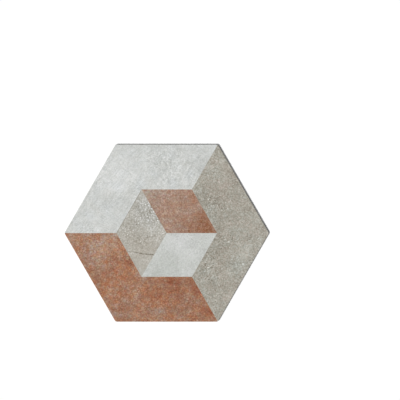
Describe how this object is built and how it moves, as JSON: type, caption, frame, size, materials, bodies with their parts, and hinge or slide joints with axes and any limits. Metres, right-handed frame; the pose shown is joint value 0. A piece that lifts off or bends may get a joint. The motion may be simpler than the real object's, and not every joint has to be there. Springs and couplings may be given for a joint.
{
  "type": "self-adhesive mosaic tile",
  "caption": "Flat hexagonal peel-and-stick vinyl tile with rounded corners, an eased wear face printed as a stone-look mosaic of bands folded round lozenges, and a flat adhesive back.",
  "frame": {"origin": "middle of the adhesive face, which lies on the floor", "axes": "+Z out of the printed wear face, +X through a corner of the hexagon, +Y square to a straight edge"},
  "size_m": [0.23, 0.2, 0.002],
  "materials": {
    "printed_vinyl": "matt stone-look print in pale cement, taupe and terracotta under a clear satin wear layer"
  },
  "bodies": {
    "root": {"tile": "printed_vinyl"}
  },
  "joints": []
}
